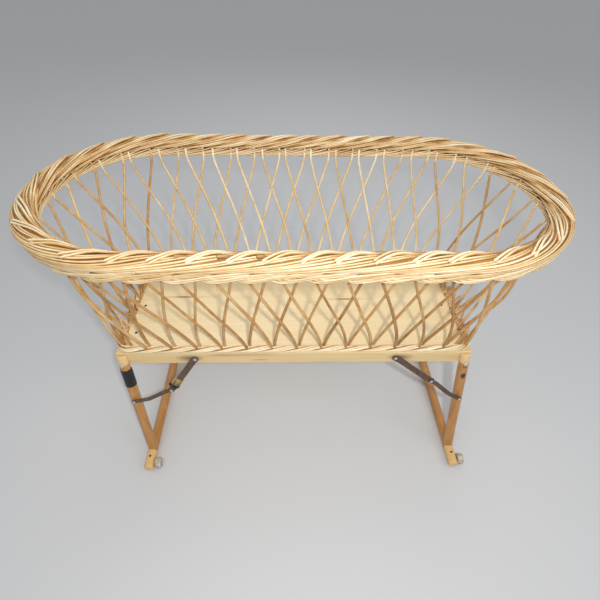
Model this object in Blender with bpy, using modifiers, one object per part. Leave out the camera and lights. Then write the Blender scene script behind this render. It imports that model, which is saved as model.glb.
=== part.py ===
"""Wicker bassinet on a folding dowel stand.

An oval willow basket is woven onto a long pine base frame. Under each end of the base hangs a
stand frame of two dowel legs and a floor rail, which folds inward and is held open by a pair of
two-arm steel braces. The floor rails carry four small wheels.

Frame: +X along the basket, +Y to the rear, +Z up, in metres. The origin is on the floor, below
the middle of the basket.
"""

import math

import bmesh
import bpy
from mathutils import Matrix, Vector

# Running and touching clearances
GAP = 0.0003            # between pieces that touch
RUNNING_GAP = 0.0004    # round a pin that turns
SWING_GAP = 0.0015      # between a piece that swings and the face beside it
CUT_PAST = 0.004        # how far a cutter reaches beyond the face that it cuts
MERGE = 0.00001         # points closer than this are one point

# Base frame and its board
BASE_HALF_LENGTH = 0.418
BASE_HALF_WIDTH = 0.158
RAIL_BOTTOM = 0.322
RAIL_HEIGHT = 0.037
RAIL_THICKNESS = 0.018
END_RAIL_WIDTH = 0.040
EDGE_ROUND = 0.002
BOARD_THICKNESS = 0.006
WALE_WIDTH = 0.014
WALE_HEIGHT = 0.0145

# Basket
RIM_HALF_LENGTH = 0.531    # to the middle of the rim
RIM_HALF_WIDTH = 0.242
RIM_END_STRAIGHT = 0.010   # half the straight length across each end
RIM_TOP = 0.706
BORDER_WIDTH = 0.048
BORDER_HEIGHT = 0.030
RIM_WALE_WIDTH = 0.024
RIM_WALE_HEIGHT = 0.016
STICK_INSET = 0.008        # from the base's edge to the row of sticks
STICK_CORNER = 0.030
STICK_RADIUS = 0.0026
STICK_PAIRS = 38
STICK_LEAN = 1.3           # pitches that a stick moves along the rim on its way up
STICK_SPLIT = 0.005        # from the middle of a pair to each stick's foot
LONG_SIDE_PITCH = 0.060    # of the pairs' tops at the middle of a long side: they fan out to the ends
STICK_STEPS = 3
STICK_OVERRUN = 0.03       # share of its height that a stick runs on into its rows
ROW_HEIGHT = 0.005         # the thin woven rows that hold the sticks' feet and tops
ROW_THICKNESS = 0.006
FRONT_WALL_REACH = 4.5     # pitches from the middle of a long side to the end of its straight wall
END_WALL_STEP = 2.5        # pitches that each panel of an end wall covers
PANEL_DEPTH = 0.060        # of the wedge that each panel is cut to
PANEL_EDGE = 0.0002        # half the gap between two panels, at their feet
ROW_PAST = 0.2             # pitches that a row runs beyond its panel before it is cut

# Stand
ROUND_SIDES = 16
SADDLE_SIDES = 24
DOWEL_RADIUS = 0.0125
FLOOR_RAIL_CLEARANCE = 0.005   # between the rail and the floor
FLOOR_RAIL_OVERHANG = 0.0595   # past each leg's foot
DOWEL_END_ROUND = 0.003
PIVOT_INSET = 0.013            # from the base's end to the legs' pivots
LEG_PIVOT_RISE = 0.010         # above the rails' underside
LEG_TOP_ABOVE_PIVOT = 0.022
LEG_FLAT_DEPTH = 0.0005        # the legs' flat side lies this far beyond their axis
LEG_SPREAD = 0.0495            # from a leg's pivot out to its foot
LEFT_LEAN = math.radians(-2.7)   # a stand's lean, outward counted positive
RIGHT_LEAN = math.radians(4.7)
BOLT_RADIUS = 0.003
BOLT_DEPTH = 0.014             # into the base
BOLT_HEAD_RADIUS = 0.0055
BOLT_HEAD_HEIGHT = 0.003

# Wheels
WHEEL_RADIUS = 0.0145
WHEEL_WIDTH = 0.016
WHEEL_SHOULDER = 0.0025
WHEEL_SIDES = 16
WHEEL_INSET = 0.018            # from the floor rail's end
AXLE_RADIUS = 0.002
AXLE_HEAD_RADIUS = 0.0045
AXLE_HEAD_HEIGHT = 0.0025
AXLE_DEPTH = 0.016
AXLE_END_ROOM = 0.001

# Braces
BRACE_REACH = 0.168            # along the rail, from the leg's pivot to the brace's screw
BRACE_LEG_DROP = 0.1145        # along the leg, below its pivot
UPPER_ARM_SHARE = 0.545
ARM_THICKNESS = 0.002
ARM_END_STEPS = 6
ARM_HOLE_SIDES = 10
UPPER_ARM_WIDTH = 0.016
LOWER_ARM_WIDTH = 0.012
ARM_TAB = 0.014                # flat length at each end of an arm
LEG_TAB = 0.042                # longer where the arm crosses the leg
RIVET_RADIUS = 0.002
RIVET_HEAD_RADIUS = 0.0042
RIVET_HEAD_HEIGHT = 0.0018
SCREW_DEPTH = 0.010

# Repair tape round the left front leg
TAPE_TOP_DROP = 0.020          # below the leg's pivot
TAPE_LENGTH = 0.052
TAPE_THICKNESS = 0.0008

# Round holes and the smooth shading of round pieces
HOLE_SIDES = 12
SMOOTH_BELOW = math.radians(40)

# Sizes that follow from those above
RIM_CORNER = RIM_HALF_WIDTH - RIM_END_STRAIGHT
RAIL_TOP = RAIL_BOTTOM + RAIL_HEIGHT
WALE_BOTTOM = RAIL_TOP + GAP
WALE_TOP = WALE_BOTTOM + WALE_HEIGHT
BORDER_MIDDLE = RIM_TOP - BORDER_HEIGHT / 2
RIM_WALE_TOP = RIM_TOP - BORDER_HEIGHT - GAP
RIM_WALE_BOTTOM = RIM_WALE_TOP - RIM_WALE_HEIGHT
WALL_BOTTOM = WALE_TOP + GAP
WALL_TOP = RIM_WALE_BOTTOM - GAP
LEG_PIVOT_X = BASE_HALF_LENGTH - PIVOT_INSET
BRACE_RAIL_X = LEG_PIVOT_X - BRACE_REACH
PIVOT_Z = RAIL_BOTTOM + LEG_PIVOT_RISE
RAIL_MIDDLE = RAIL_BOTTOM + RAIL_HEIGHT / 2
FLAT_Y = BASE_HALF_WIDTH + SWING_GAP      # the legs' inner side is planed to this plane
LEG_PIVOT_Y = FLAT_Y - LEG_FLAT_DEPTH
FLOOR_RAIL_HEIGHT = FLOOR_RAIL_CLEARANCE + DOWEL_RADIUS     # of its axis
FLOOR_RAIL_HALF_LENGTH = LEG_PIVOT_Y + LEG_SPREAD + FLOOR_RAIL_OVERHANG
WHEEL_Y = FLOOR_RAIL_HALF_LENGTH - WHEEL_INSET
LEG_RISE = PIVOT_Z - FLOOR_RAIL_HEIGHT
LEG_SPLAY = LEG_SPREAD / LEG_RISE
LEG_SIDE = DOWEL_RADIUS / math.cos(math.atan(LEG_SPLAY))    # from a leg's axis to its side, along Y
RAIL_TAB_Y = BASE_HALF_WIDTH + SWING_GAP + ARM_THICKNESS / 2

COLOURS = {
    "willow": ((0.72, 0.50, 0.25), 0.55, 0.0),
    "pine": ((0.80, 0.66, 0.42), 0.60, 0.0),
    "plywood": ((0.86, 0.74, 0.52), 0.60, 0.0),
    "varnished_dowel": ((0.62, 0.34, 0.12), 0.40, 0.0),
    "brace_steel": ((0.24, 0.18, 0.14), 0.55, 0.8),
    "bright_steel": ((0.55, 0.53, 0.50), 0.40, 0.9),
    "wheel": ((0.62, 0.57, 0.48), 0.55, 0.0),
    "tape": ((0.03, 0.03, 0.03), 0.50, 0.0),
}


# ---------------------------------------------------------------- scene and materials

def clear_scene():
    for obj in list(bpy.data.objects):
        bpy.data.objects.remove(obj, do_unlink=True)


def new_collection(name):
    collection = bpy.data.collections.new(name)
    bpy.context.scene.collection.children.link(collection)
    return collection


def make_material(name):
    colour, roughness, metallic = COLOURS[name]
    material = bpy.data.materials.new(name)
    material.use_nodes = True
    shader = material.node_tree.nodes["Principled BSDF"]
    shader.inputs["Base Color"].default_value = (*colour, 1.0)
    shader.inputs["Roughness"].default_value = roughness
    shader.inputs["Metallic"].default_value = metallic
    material.diffuse_color = (*colour, 1.0)
    return material


clear_scene()
PARTS = new_collection("bassinet_on_stand")
CUTTERS = new_collection("cutters")
MATERIALS = {name: make_material(name) for name in COLOURS}


def add_part(name, mesh, material, smooth=False):
    """Puts a finished mesh into the model under its own name."""
    obj = bpy.data.objects.new(name, mesh)
    PARTS.objects.link(obj)
    mesh.materials.clear()
    mesh.materials.append(MATERIALS[material])
    if smooth:
        mesh.shade_smooth()
        mesh.set_sharp_from_angle(angle=SMOOTH_BELOW)
    return obj


def add_helper(name, mesh, collection=None):
    """A cutter, or a shape that a Boolean joins to a part."""
    obj = bpy.data.objects.new(name, mesh)
    (collection or CUTTERS).objects.link(obj)
    obj.hide_render = True
    obj.display_type = "WIRE"
    return obj


def boolean(obj, operation, other, solver="EXACT"):
    modifier = obj.modifiers.new(operation.lower(), "BOOLEAN")
    modifier.operation = operation
    if isinstance(other, bpy.types.Collection):
        modifier.operand_type = "COLLECTION"
        modifier.collection = other
    else:
        modifier.object = other
    modifier.solver = solver


def hang(obj, parent):
    """Parents a piece to an empty and leaves it where it is."""
    obj.parent = parent
    obj.matrix_parent_inverse = parent.matrix_world.inverted()


def joint_empty(name, place):
    empty = bpy.data.objects.new(name, None)
    empty.empty_display_size = 0.02
    empty.matrix_world = Matrix.Translation(place)
    PARTS.objects.link(empty)
    return empty


# ---------------------------------------------------------------- basic meshes

def mesh_from(bm, name):
    """The closed mesh, with its faces pointing out."""
    mesh = bpy.data.meshes.new(name)
    bmesh.ops.recalc_face_normals(bm, faces=bm.faces)
    if bm.calc_volume(signed=True) < 0:
        bmesh.ops.reverse_faces(bm, faces=bm.faces)
    bm.to_mesh(mesh)
    bm.free()
    return mesh


def box_mesh(name, size, centre):
    bm = bmesh.new()
    bmesh.ops.create_cube(bm, size=1.0)
    bmesh.ops.scale(bm, vec=size, verts=bm.verts)
    bmesh.ops.translate(bm, vec=centre, verts=bm.verts)
    return mesh_from(bm, name)


def rod_mesh(name, start, end, radius, sides=ROUND_SIDES):
    """A cylinder from one point to another."""
    start, end = Vector(start), Vector(end)
    along = end - start
    place = Matrix.Translation((start + end) / 2) @ along.to_track_quat("Z", "Y").to_matrix().to_4x4()
    bm = bmesh.new()
    bmesh.ops.create_cone(bm, cap_ends=True, segments=sides, radius1=radius, radius2=radius,
                          depth=along.length, matrix=place)
    return mesh_from(bm, name)


def mesh_of_curve(obj):
    """The closed mesh of a curve object, which is removed."""
    bpy.context.view_layer.update()
    graph = bpy.context.evaluated_depsgraph_get()
    mesh = bpy.data.meshes.new_from_object(obj.evaluated_get(graph))
    bm = bmesh.new()
    bm.from_mesh(mesh)
    bmesh.ops.remove_doubles(bm, verts=bm.verts, dist=MERGE)
    bmesh.ops.recalc_face_normals(bm, faces=bm.faces)
    bm.to_mesh(mesh)
    bm.free()
    bpy.data.objects.remove(obj, do_unlink=True)
    return mesh


def tube_mesh(name, points, radius):
    """A four-sided tube with closed ends through the points."""
    curve = bpy.data.curves.new(name, "CURVE")
    curve.dimensions = "3D"
    curve.bevel_depth = radius
    curve.bevel_resolution = 0
    curve.use_fill_caps = True
    spline = curve.splines.new("POLY")
    spline.points.add(len(points) - 1)
    for point, place in zip(spline.points, points):
        point.co = (*place, 1.0)
    obj = bpy.data.objects.new(name, curve)
    CUTTERS.objects.link(obj)
    return mesh_of_curve(obj)


def flat_mesh(name, outlines, thickness):
    """A flat piece in the XY plane: the first outline is its edge and the others are its holes."""
    curve = bpy.data.curves.new(name, "CURVE")
    curve.dimensions = "2D"
    curve.fill_mode = "BOTH"
    curve.extrude = thickness / 2
    for points in outlines:
        spline = curve.splines.new("POLY")
        spline.points.add(len(points) - 1)
        spline.use_cyclic_u = True
        for point, place in zip(spline.points, points):
            point.co = (*place, 0.0, 1.0)
    obj = bpy.data.objects.new(name, curve)
    CUTTERS.objects.link(obj)
    return mesh_of_curve(obj)


def rounded_outline(half_length, half_width, corner, steps=6):
    """The edge of a rectangle with round corners."""
    points = []
    for index, (way_x, way_y) in enumerate(((1, 1), (-1, 1), (-1, -1), (1, -1))):
        for step in range(steps + 1):
            angle = math.pi / 2 * (index + step / steps)
            points.append((way_x * (half_length - corner) + corner * math.cos(angle),
                           way_y * (half_width - corner) + corner * math.sin(angle)))
    return points


def fastener_mesh(name, start, direction, shank, head, sides=8):
    """A shank and a head on one axis: start is under the head, direction points to the tip."""
    start, direction = Vector(start), Vector(direction).normalized()
    shank_radius, shank_length = shank
    head_radius, head_height = head
    profile = (
        (0.0, -head_height),
        (head_radius * 0.7, -head_height),
        (head_radius, -head_height * 0.5),
        (head_radius, 0.0),
        (shank_radius, 0.0),
        (shank_radius, shank_length),
        (0.0, shank_length),
    )
    bm = bmesh.new()
    verts = [bm.verts.new((radius, 0.0, height)) for radius, height in profile]
    edges = [bm.edges.new(pair) for pair in zip(verts, verts[1:])]
    bmesh.ops.spin(bm, geom=verts + edges, cent=(0, 0, 0), axis=(0, 0, 1),
                   angle=math.tau, steps=sides)
    bmesh.ops.remove_doubles(bm, verts=bm.verts, dist=MERGE)
    turn = direction.to_track_quat("Z", "Y").to_matrix().to_4x4()
    bmesh.ops.transform(bm, matrix=Matrix.Translation(start) @ turn, verts=bm.verts)
    return mesh_from(bm, name)


def drill(obj, start, direction, radius, depth):
    """Cuts a round hole that begins a little outside start."""
    start, direction = Vector(start), Vector(direction).normalized()
    hole = rod_mesh("hole", start - direction * CUT_PAST, start + direction * depth, radius,
                    HOLE_SIDES)
    boolean(obj, "DIFFERENCE", add_helper(f"{obj.name}_hole", hole))


# ---------------------------------------------------------------- paths round the basket

def loop_point(half_length, half_width, corner, share):
    """(x, y, outward x, outward y) on a rounded rectangle.

    share runs once round it from the middle of the front side towards +X.
    """
    straight_x, straight_y = half_length - corner, half_width - corner
    arc = corner * math.pi / 2
    total = 4 * (straight_x + straight_y + arc)
    distance = (share % 1.0) * total
    runs = (
        (straight_x, "line", (0.0, -half_width), (1, 0)),
        (arc, "arc", (straight_x, -straight_y), -90),
        (2 * straight_y, "line", (half_length, -straight_y), (0, 1)),
        (arc, "arc", (straight_x, straight_y), 0),
        (2 * straight_x, "line", (straight_x, half_width), (-1, 0)),
        (arc, "arc", (-straight_x, straight_y), 90),
        (2 * straight_y, "line", (-half_length, straight_y), (0, -1)),
        (arc, "arc", (-straight_x, -straight_y), 180),
        (straight_x, "line", (-straight_x, -half_width), (1, 0)),
    )
    for length, kind, place, way in runs:
        if distance <= length:
            break
        distance -= length
    if kind == "line":
        return place[0] + way[0] * distance, place[1] + way[1] * distance, way[1], -way[0]
    angle = math.radians(way) + distance / corner
    out_x, out_y = math.cos(angle), math.sin(angle)
    return place[0] + corner * out_x, place[1] + corner * out_y, out_x, out_y


def loop_stations(half_length, half_width, corner, arc_steps):
    """The shares of a rounded rectangle's length at which its arcs are divided."""
    straight_x, straight_y = half_length - corner, half_width - corner
    arc = corner * math.pi / 2
    total = 4 * (straight_x + straight_y + arc)
    starts = (straight_x, straight_x + arc + 2 * straight_y)
    stations = [start + arc * step / arc_steps for start in starts for step in range(arc_steps + 1)]
    return [(station / total + turn) % 1.0 for turn in (0.0, 0.5) for station in stations]


def foot_point(share):
    return loop_point(BASE_HALF_LENGTH - STICK_INSET, BASE_HALF_WIDTH - STICK_INSET,
                      STICK_CORNER, share)


def head_point(share):
    """The place on the rim above this share of the row of feet."""
    pairs = share * STICK_PAIRS
    quarter = STICK_PAIRS / 4
    side = round(pairs / (2 * quarter))
    offset = pairs - side * 2 * quarter
    perimeter = loop_length(RIM_HALF_LENGTH, RIM_HALF_WIDTH, RIM_CORNER)
    spread = (perimeter / 4 - LONG_SIDE_PITCH * quarter) / quarter ** 3
    along = LONG_SIDE_PITCH * offset + spread * offset ** 3
    return loop_point(RIM_HALF_LENGTH, RIM_HALF_WIDTH, RIM_CORNER, side / 2 + along / perimeter)


def loop_length(half_length, half_width, corner):
    return 4 * (half_length + half_width) - (8 - math.tau) * corner


def foot_perimeter():
    return loop_length(BASE_HALF_LENGTH - STICK_INSET, BASE_HALF_WIDTH - STICK_INSET, STICK_CORNER)


def wall_point(share, height, outward=0.0):
    """A point on the basket's wall: height is 0 at the sticks' feet and 1 at their tops."""
    foot, head = foot_point(share), head_point(share)
    x, y, out_x, out_y = (low + (high - low) * height for low, high in zip(foot, head))
    length = math.hypot(out_x, out_y)
    z = WALL_BOTTOM + (WALL_TOP - WALL_BOTTOM) * height
    return Vector((x + outward * out_x / length, y + outward * out_y / length, z))


def ring_mesh(name, half_length, half_width, corner, middle, width, height, arc_steps, sides):
    """A closed ring of oval section round the basket."""
    bm = bmesh.new()
    rings = []
    for share in loop_stations(half_length, half_width, corner, arc_steps):
        x, y, out_x, out_y = loop_point(half_length, half_width, corner, share)
        ring = []
        for side in range(sides):
            angle = math.tau * (side + 0.5) / sides
            swell = 1 / math.cos(math.pi / sides)
            out = math.cos(angle) * width / 2 * swell
            rise = math.sin(angle) * height / 2 * swell
            ring.append(bm.verts.new((x + out_x * out, y + out_y * out, middle + rise)))
        rings.append(ring)
    for ring, after in zip(rings, rings[1:] + rings[:1]):
        for side in range(sides):
            other = (side + 1) % sides
            bm.faces.new((ring[side], after[side], after[other], ring[other]))
    return mesh_from(bm, name)


def panel_mesh(name, start, end, bottom, top, thickness, steps):
    """A slab that follows the wall from one share to another, for the sticks' rows and panel cuts."""
    bm = bmesh.new()
    rows = []
    for step in range(steps + 1):
        share = start + (end - start) * step / steps
        rows.append([bm.verts.new(wall_point(share, height, side * thickness / 2))
                     for height, side in ((bottom, 1), (top, 1), (top, -1), (bottom, -1))])
    for row, after in zip(rows, rows[1:]):
        for corner in range(4):
            other = (corner + 1) % 4
            bm.faces.new((row[corner], after[corner], after[other], row[other]))
    bm.faces.new(rows[0])
    bm.faces.new(rows[-1])
    return mesh_from(bm, name)


# ---------------------------------------------------------------- base and basket

def make_base():
    length = 2 * BASE_HALF_LENGTH
    rail_y = BASE_HALF_WIDTH - RAIL_THICKNESS / 2
    for name, side in (("front_rail", -1), ("rear_rail", 1)):
        mesh = box_mesh(name, (length, RAIL_THICKNESS, RAIL_HEIGHT), (0, side * rail_y, RAIL_MIDDLE))
        rail = add_part(name, mesh, "pine")
        round_edges(rail)
        for end in (-1, 1):
            drill(rail, (end * LEG_PIVOT_X, side * BASE_HALF_WIDTH, PIVOT_Z), (0, -side, 0),
                  BOLT_RADIUS + GAP, BOLT_DEPTH + GAP)
            drill(rail, (end * BRACE_RAIL_X, side * BASE_HALF_WIDTH, RAIL_MIDDLE), (0, -side, 0),
                  RIVET_RADIUS + GAP, SCREW_DEPTH + GAP)
    end_length = 2 * (BASE_HALF_WIDTH - RAIL_THICKNESS - GAP)
    end_x = BASE_HALF_LENGTH - END_RAIL_WIDTH / 2
    for name, side in (("left_end_rail", -1), ("right_end_rail", 1)):
        mesh = box_mesh(name, (END_RAIL_WIDTH, end_length, RAIL_HEIGHT), (side * end_x, 0, RAIL_MIDDLE))
        round_edges(add_part(name, mesh, "pine"))
    inside = STICK_INSET + WALE_WIDTH / 2 + 2 * GAP
    outline = rounded_outline(BASE_HALF_LENGTH - inside, BASE_HALF_WIDTH - inside,
                              STICK_CORNER - WALE_WIDTH / 2)
    board = add_part("bottom_board", flat_mesh("bottom_board", [outline], BOARD_THICKNESS), "plywood")
    board.location.z = RAIL_TOP + GAP + BOARD_THICKNESS / 2
    wale = ring_mesh("base_wale", BASE_HALF_LENGTH - STICK_INSET, BASE_HALF_WIDTH - STICK_INSET,
                     STICK_CORNER, WALE_BOTTOM + WALE_HEIGHT / 2, WALE_WIDTH, WALE_HEIGHT, 6, 4)
    add_part("base_wale", wale, "willow")


def round_edges(obj, width=EDGE_ROUND, segments=1, least_angle=30):
    """Rounds the edges that turn by more than least_angle degrees."""
    bevel = obj.modifiers.new("edges", "BEVEL")
    bevel.width = width
    bevel.segments = segments
    bevel.limit_method = "ANGLE"
    bevel.angle_limit = math.radians(least_angle)


def make_rim():
    border = ring_mesh("rim_border", RIM_HALF_LENGTH, RIM_HALF_WIDTH, RIM_CORNER, BORDER_MIDDLE,
                       BORDER_WIDTH, BORDER_HEIGHT, 10, 8)
    add_part("rim_border", border, "willow", smooth=True)
    wale = ring_mesh("rim_wale", RIM_HALF_LENGTH, RIM_HALF_WIDTH, RIM_CORNER,
                     RIM_WALE_BOTTOM + RIM_WALE_HEIGHT / 2, RIM_WALE_WIDTH, RIM_WALE_HEIGHT, 10, 4)
    add_part("rim_wale", wale, "willow")


def stick_course(rise):
    """How far a stick has leaned at each share of its height: it leaves its row nearly upright."""
    return 0.4 * rise + 0.6 * rise * rise * (2.2 - 1.2 * rise)


def stick_points(pair, way):
    """The course of one stick of a pair. way is 1 if it leans towards growing shares."""
    split = STICK_SPLIT / foot_perimeter()
    inner = [step / STICK_STEPS for step in range(1, STICK_STEPS)]
    heights = [-STICK_OVERRUN] + inner + [1 + STICK_OVERRUN]
    points = []
    for height in heights:
        course = stick_course(min(max(height, 0.0), 1.0))
        share = (pair + way * STICK_LEAN * course) / STICK_PAIRS + way * split * (1 - 2 * course)
        points.append(wall_point(share, height))
    return points


def make_wall(name, start, end):
    """One panel of the wall: its sticks, cut at the panel's ends, and the thin rows that hold them."""
    shapes = bpy.data.collections.new(f"{name}_shapes")
    CUTTERS.children.link(shapes)
    row = ROW_HEIGHT / (WALL_TOP - WALL_BOTTOM)
    steps = max(4, math.ceil(2 * (end - start)))
    edge = PANEL_EDGE / foot_perimeter()
    low, high = start / STICK_PAIRS + edge, end / STICK_PAIRS - edge
    past = ROW_PAST / STICK_PAIRS
    foot_row = panel_mesh(name, low - past, high + past, -row, row, ROW_THICKNESS, steps)
    head_row = panel_mesh(f"{name}_head_row", low - past, high + past, 1 - row, 1 + row,
                          ROW_THICKNESS, steps)
    add_helper(f"{name}_head_row", head_row, shapes)
    for pair in range(math.floor(start - STICK_LEAN), math.ceil(end + STICK_LEAN) + 1):
        for way in (-1, 1):
            reach = pair + way * STICK_LEAN
            if max(pair, reach) < start or min(pair, reach) > end:
                continue
            stick = tube_mesh("stick", stick_points(pair, way), STICK_RADIUS)
            add_helper(f"{name}_stick", stick, shapes)
    wall = add_part(name, foot_row, "willow")
    # EXACT loses one of these panels, where many sticks cross.
    boolean(wall, "UNION", shapes, "MANIFOLD")
    cut = panel_mesh(f"{name}_cut", low, high, 0.0, 1.0, PANEL_DEPTH, steps)
    boolean(wall, "INTERSECT", add_helper(f"{name}_cut", cut), "MANIFOLD")


def make_walls():
    middle = STICK_PAIRS / 2
    reach, step = FRONT_WALL_REACH, END_WALL_STEP
    make_wall("front_wall", -reach, reach)
    make_wall("rear_wall", middle - reach, middle + reach)
    panels = ("front_corner_wall", "end_front_wall", "end_rear_wall", "rear_corner_wall")
    for index, panel in enumerate(panels):
        start = reach + index * step
        make_wall(f"right_{panel}", start, start + step)
        make_wall(f"left_{panel}", -start - step, -start)


# ---------------------------------------------------------------- stand

def leg_point(side, end, lean, drop, outward=0.0):
    """A point on a leg's axis, drop metres below its pivot measured in the XZ plane.

    side is -1 for the left stand, end is -1 for the front leg, and outward moves it away in Y.
    """
    x = side * (LEG_PIVOT_X + drop * math.sin(lean))
    z = PIVOT_Z - drop * math.cos(lean)
    y = LEG_PIVOT_Y + LEG_SPLAY * (PIVOT_Z - z) + outward
    return Vector((x, end * y, z))


def flat_side_cutter(side, end, reach):
    """A block that planes a leg, or what is round it, flat beside the rail, out to this Y."""
    size = (LEG_RISE, reach, 2 * LEG_RISE)
    return box_mesh("flat", size, (side * LEG_PIVOT_X, end * reach / 2, PIVOT_Z))


def make_leg(name, side, end, lean):
    foot_drop = LEG_RISE / math.cos(lean)
    top = leg_point(side, end, lean, -LEG_TOP_ABOVE_PIVOT)
    foot = leg_point(side, end, lean, foot_drop)
    leg = add_part(name, rod_mesh(name, top, foot, DOWEL_RADIUS), "varnished_dowel", smooth=True)
    round_edges(leg, DOWEL_END_ROUND, 2, 60)
    boolean(leg, "DIFFERENCE", add_helper(f"{name}_flat", flat_side_cutter(side, end, FLAT_Y)))
    reach = Vector((0, 2 * DOWEL_RADIUS + CUT_PAST, 0))
    saddle = rod_mesh("saddle", foot - reach, foot + reach, DOWEL_RADIUS + GAP, SADDLE_SIDES)
    boolean(leg, "DIFFERENCE", add_helper(f"{name}_saddle", saddle))
    drill(leg, (side * LEG_PIVOT_X, end * (LEG_PIVOT_Y + 2 * DOWEL_RADIUS), PIVOT_Z), (0, -end, 0),
          BOLT_RADIUS + RUNNING_GAP, 4 * DOWEL_RADIUS)
    screw = leg_point(side, end, lean, BRACE_LEG_DROP, LEG_SIDE)
    drill(leg, screw, (0, -end, 0), RIVET_RADIUS + GAP, SCREW_DEPTH + GAP)
    return leg


def make_floor_rail(name, x):
    rail_start = (x, -FLOOR_RAIL_HALF_LENGTH, FLOOR_RAIL_HEIGHT)
    rail_end = (x, FLOOR_RAIL_HALF_LENGTH, FLOOR_RAIL_HEIGHT)
    mesh = rod_mesh(name, rail_start, rail_end, DOWEL_RADIUS)
    rail = add_part(name, mesh, "varnished_dowel", smooth=True)
    round_edges(rail, DOWEL_END_ROUND, 2, 60)
    for end in (-1, 1):
        drill(rail, (x + DOWEL_RADIUS, end * WHEEL_Y, WHEEL_RADIUS), (-1, 0, 0), AXLE_RADIUS + GAP,
              AXLE_DEPTH)
    return rail


def make_wheel(name, x, y):
    """A small turned wheel on an axle along X, with a bore that clears its axle."""
    bore = AXLE_RADIUS + RUNNING_GAP
    half = WHEEL_WIDTH / 2
    face, tread = WHEEL_RADIUS - WHEEL_SHOULDER, half - WHEEL_SHOULDER
    profile = ((bore, half), (face, half), (WHEEL_RADIUS, tread),
               (WHEEL_RADIUS, -tread), (face, -half), (bore, -half))
    bm = bmesh.new()
    verts = [bm.verts.new((radius, 0.0, height)) for radius, height in profile]
    edges = [bm.edges.new(pair) for pair in zip(verts, verts[1:] + verts[:1])]
    bmesh.ops.spin(bm, geom=verts + edges, cent=(0, 0, 0), axis=(0, 0, 1),
                   angle=math.tau, steps=WHEEL_SIDES)
    bmesh.ops.remove_doubles(bm, verts=bm.verts, dist=MERGE)
    bmesh.ops.rotate(bm, verts=bm.verts, cent=(0, 0, 0), matrix=Matrix.Rotation(math.pi / 2, 3, "Y"))
    wheel = add_part(name, mesh_from(bm, name), "wheel", smooth=True)
    wheel.location = (x, y, WHEEL_RADIUS)
    return wheel


def make_wheels(name, side, rail_x, stand):
    wheel_x = rail_x + DOWEL_RADIUS + SWING_GAP + WHEEL_WIDTH / 2
    head_x = wheel_x + WHEEL_WIDTH / 2 + RUNNING_GAP
    for place, end in (("front", -1), ("rear", 1)):
        hang(make_wheel(f"{name}_{place}_wheel", wheel_x, end * WHEEL_Y), stand)
        axle = fastener_mesh("axle", (head_x, end * WHEEL_Y, WHEEL_RADIUS), (-1, 0, 0),
                             (AXLE_RADIUS, head_x - rail_x - DOWEL_RADIUS + AXLE_DEPTH - AXLE_END_ROOM),
                             (AXLE_HEAD_RADIUS, AXLE_HEAD_HEIGHT))
        hang(add_part(f"{name}_{place}_axle", axle, "bright_steel", smooth=True), stand)


# ---------------------------------------------------------------- braces

def knuckle_place(side, rail_pin, leg_pin, upper, lower):
    """Where two arms of these lengths meet, below the straight line between their pins."""
    across = leg_pin - rail_pin
    span = across.length
    along = (span * span + upper * upper - lower * lower) / (2 * span)
    sag = math.sqrt(max(upper * upper - along * along, 0.0))
    direction = across / span
    below = Vector((-direction.y, direction.x)) * -side
    return rail_pin + direction * along + below * sag


def arm_outline(length, width):
    """Points of a bar with round ends, from pin to pin along X."""
    points = []
    for end, turn in ((length, -0.5), (0.0, 0.5)):
        for step in range(ARM_END_STEPS + 1):
            angle = math.pi * (turn + step / ARM_END_STEPS)
            points.append((end + math.cos(angle) * width / 2, math.sin(angle) * width / 2))
    return points


def arm_mesh(name, start, end, start_y, end_y, width, start_tab, end_tab):
    """A flat steel bar from pin to pin. It lies in XZ at each end and steps across in Y between."""
    along = Vector((end[0] - start[0], end[1] - start[1]))
    length = along.length
    outline = arm_outline(length, width)
    lower_edge = [(start_tab, -width / 2), (length - end_tab, -width / 2)]
    upper_edge = [(length - end_tab, width / 2), (start_tab, width / 2)]
    half = ARM_END_STEPS + 1
    outlines = [outline[:half] + upper_edge + outline[half:] + lower_edge]
    hole = RIVET_RADIUS + RUNNING_GAP
    turns = [math.tau * step / ARM_HOLE_SIDES for step in range(ARM_HOLE_SIDES)]
    for middle in (0.0, length):
        outlines.append([(middle + hole * math.cos(turn), hole * math.sin(turn)) for turn in turns])
    mesh = flat_mesh(name, outlines, ARM_THICKNESS)
    bm = bmesh.new()
    bm.from_mesh(mesh)
    for bend in (start_tab, length - end_tab):
        bmesh.ops.bisect_plane(bm, geom=bm.verts[:] + bm.edges[:] + bm.faces[:],
                               plane_co=(bend, 0, 0), plane_no=(1, 0, 0), dist=MERGE)
    direction = along / length
    for vert in bm.verts:
        x, z, depth = vert.co
        share = min(max((x - start_tab) / (length - start_tab - end_tab), 0.0), 1.0)
        vert.co = (start[0] + direction.x * x - direction.y * z,
                   start_y + (end_y - start_y) * share - depth,
                   start[1] + direction.y * x + direction.x * z)
    return mesh_from(bm, name)


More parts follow.
